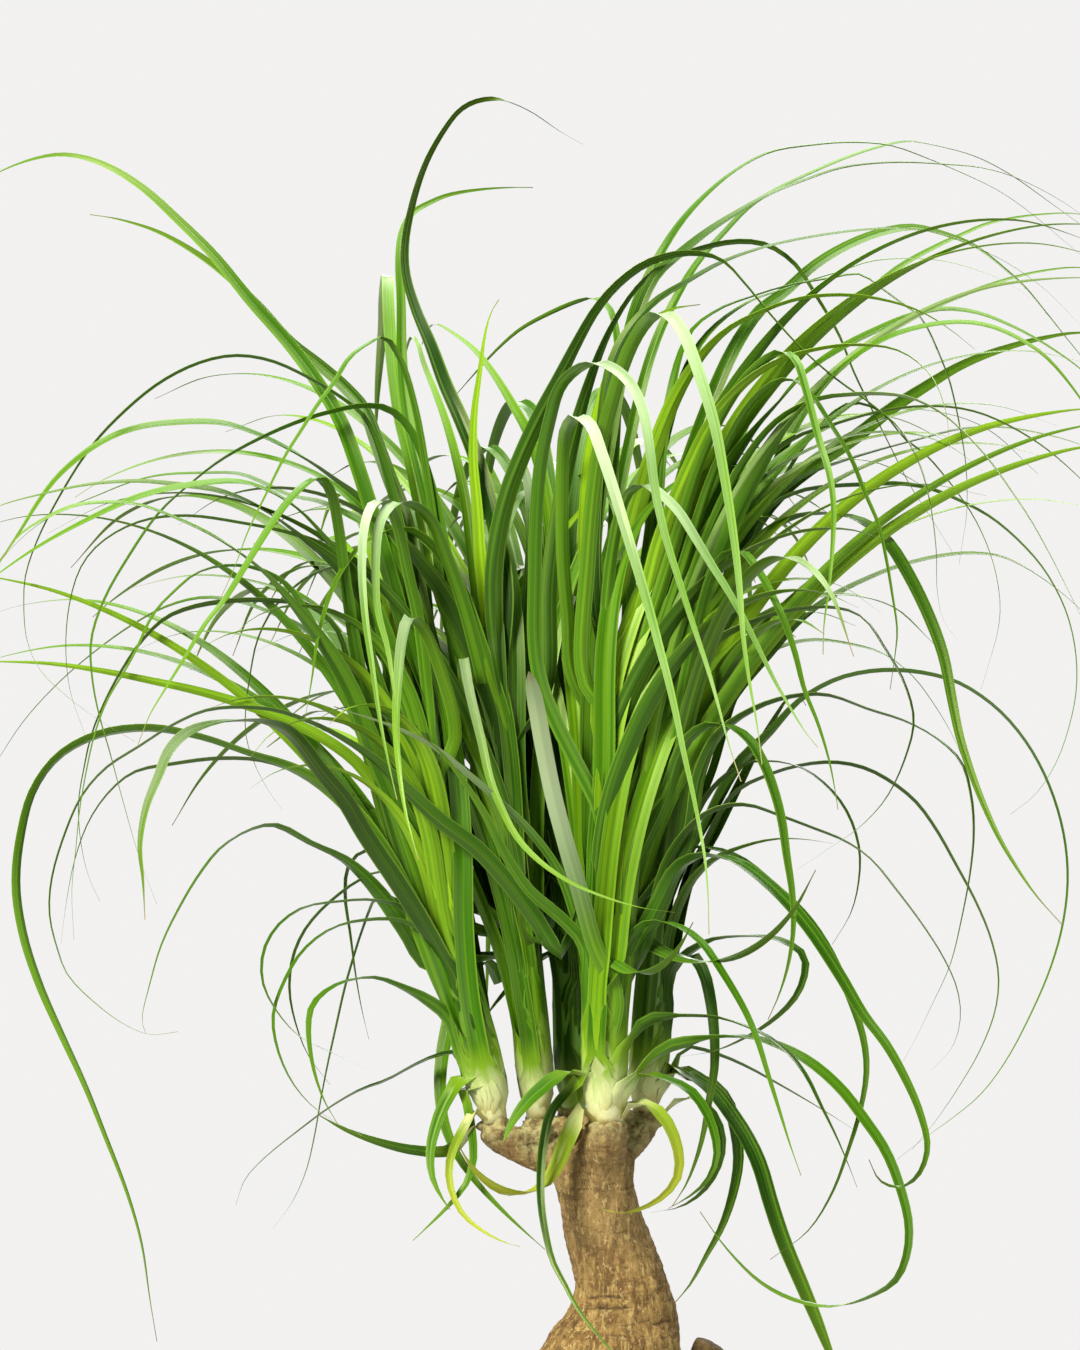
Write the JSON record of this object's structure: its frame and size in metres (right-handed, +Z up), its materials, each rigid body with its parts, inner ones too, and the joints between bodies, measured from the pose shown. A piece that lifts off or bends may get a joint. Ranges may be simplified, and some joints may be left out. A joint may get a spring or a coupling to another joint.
{
  "type": "potted ponytail palm",
  "caption": "Ponytail palm with a swollen trunk, branching green shoots and long arching strap leaves, standing in a plain round pot of soil.",
  "frame": {"origin": "middle of the pot's flat underside, on the surface that it stands on", "axes": "+Z up; the side that the picture shows faces -Y; +X to the right in the picture"},
  "size_m": [0.6474, 0.6708, 0.9501],
  "materials": {
    "pot": "matt fired clay with a fine speckle",
    "soil": "loose dark potting mix",
    "bark": "tan bark with fine fissures and rings",
    "sheath": "smooth, pale at the foot and green above",
    "leaf": "waxy green leaf with fine veins",
    "old_leaf": "yellow-green ageing leaf"
  },
  "bodies": {
    "root": {"pot": "pot", "potting_soil": "soil", "trunk": "bark", "shoot_left": "sheath", "shoot_middle": "sheath", "shoot_front": "sheath", "shoot_right": "sheath", "shoot_back": "sheath", "leaf_left_sweep": "leaf", "leaf_left_blade_high": "leaf", "leaf_left_bow_thin": "leaf", "leaf_left_arch_broad": "leaf", "leaf_left_drape_long": "leaf", "leaf_left_arch_3": "leaf", "leaf_left_blade_bright": "leaf", "leaf_left_fold_broad": "leaf", "leaf_left_bow_broad": "leaf", "leaf_left_longest": "leaf", "leaf_left_crossing": "leaf", "leaf_left_blade_low": "leaf", "leaf_left_arch_low": "leaf", "leaf_left_hook_pale": "leaf", "leaf_left_fold_pale": "leaf", "leaf_left_hang": "leaf", "leaf_left_low_dark": "leaf", "leaf_front_left_fold": "leaf", "leaf_collar_yellow_left": "old_leaf", "leaf_collar_yellow_front": "old_leaf", "leaf_trunk_drape": "leaf", "leaf_top_tall_dark": "leaf", "leaf_top_tall_bright": "leaf", "leaf_top_fold_pale": "leaf", "leaf_sweep_right_1": "leaf", "leaf_sweep_right_2": "leaf", "leaf_sweep_high_1": "leaf", "leaf_blade_right_high": "leaf", "leaf_fold_bright": "leaf", "leaf_fold_pale_arc": "leaf", "leaf_fold_white": "leaf", "leaf_arch_right_1": "leaf", "leaf_arch_right_3": "leaf", "leaf_arch_right_4": "leaf", "leaf_hang_right_1": "leaf", "leaf_bow_right_1": "leaf", "leaf_arch_right_big": "leaf", "leaf_bow_right_2": "leaf", "leaf_bow_right_3": "leaf", "leaf_bow_right_4": "leaf", "leaf_low_right_big": "leaf", "leaf_low_right_arc_1": "leaf", "leaf_low_right_plunge": "leaf", "leaf_collar_yellow_right": "old_leaf", "leaf_back_arch_1": "leaf", "leaf_back_arch_2": "leaf", "leaf_back_arch_3": "leaf", "leaf_back_arch_4": "leaf", "leaf_back_arch_5": "leaf", "leaf_back_arch_6": "leaf", "leaf_back_arch_7": "leaf"}
  },
  "joints": []
}
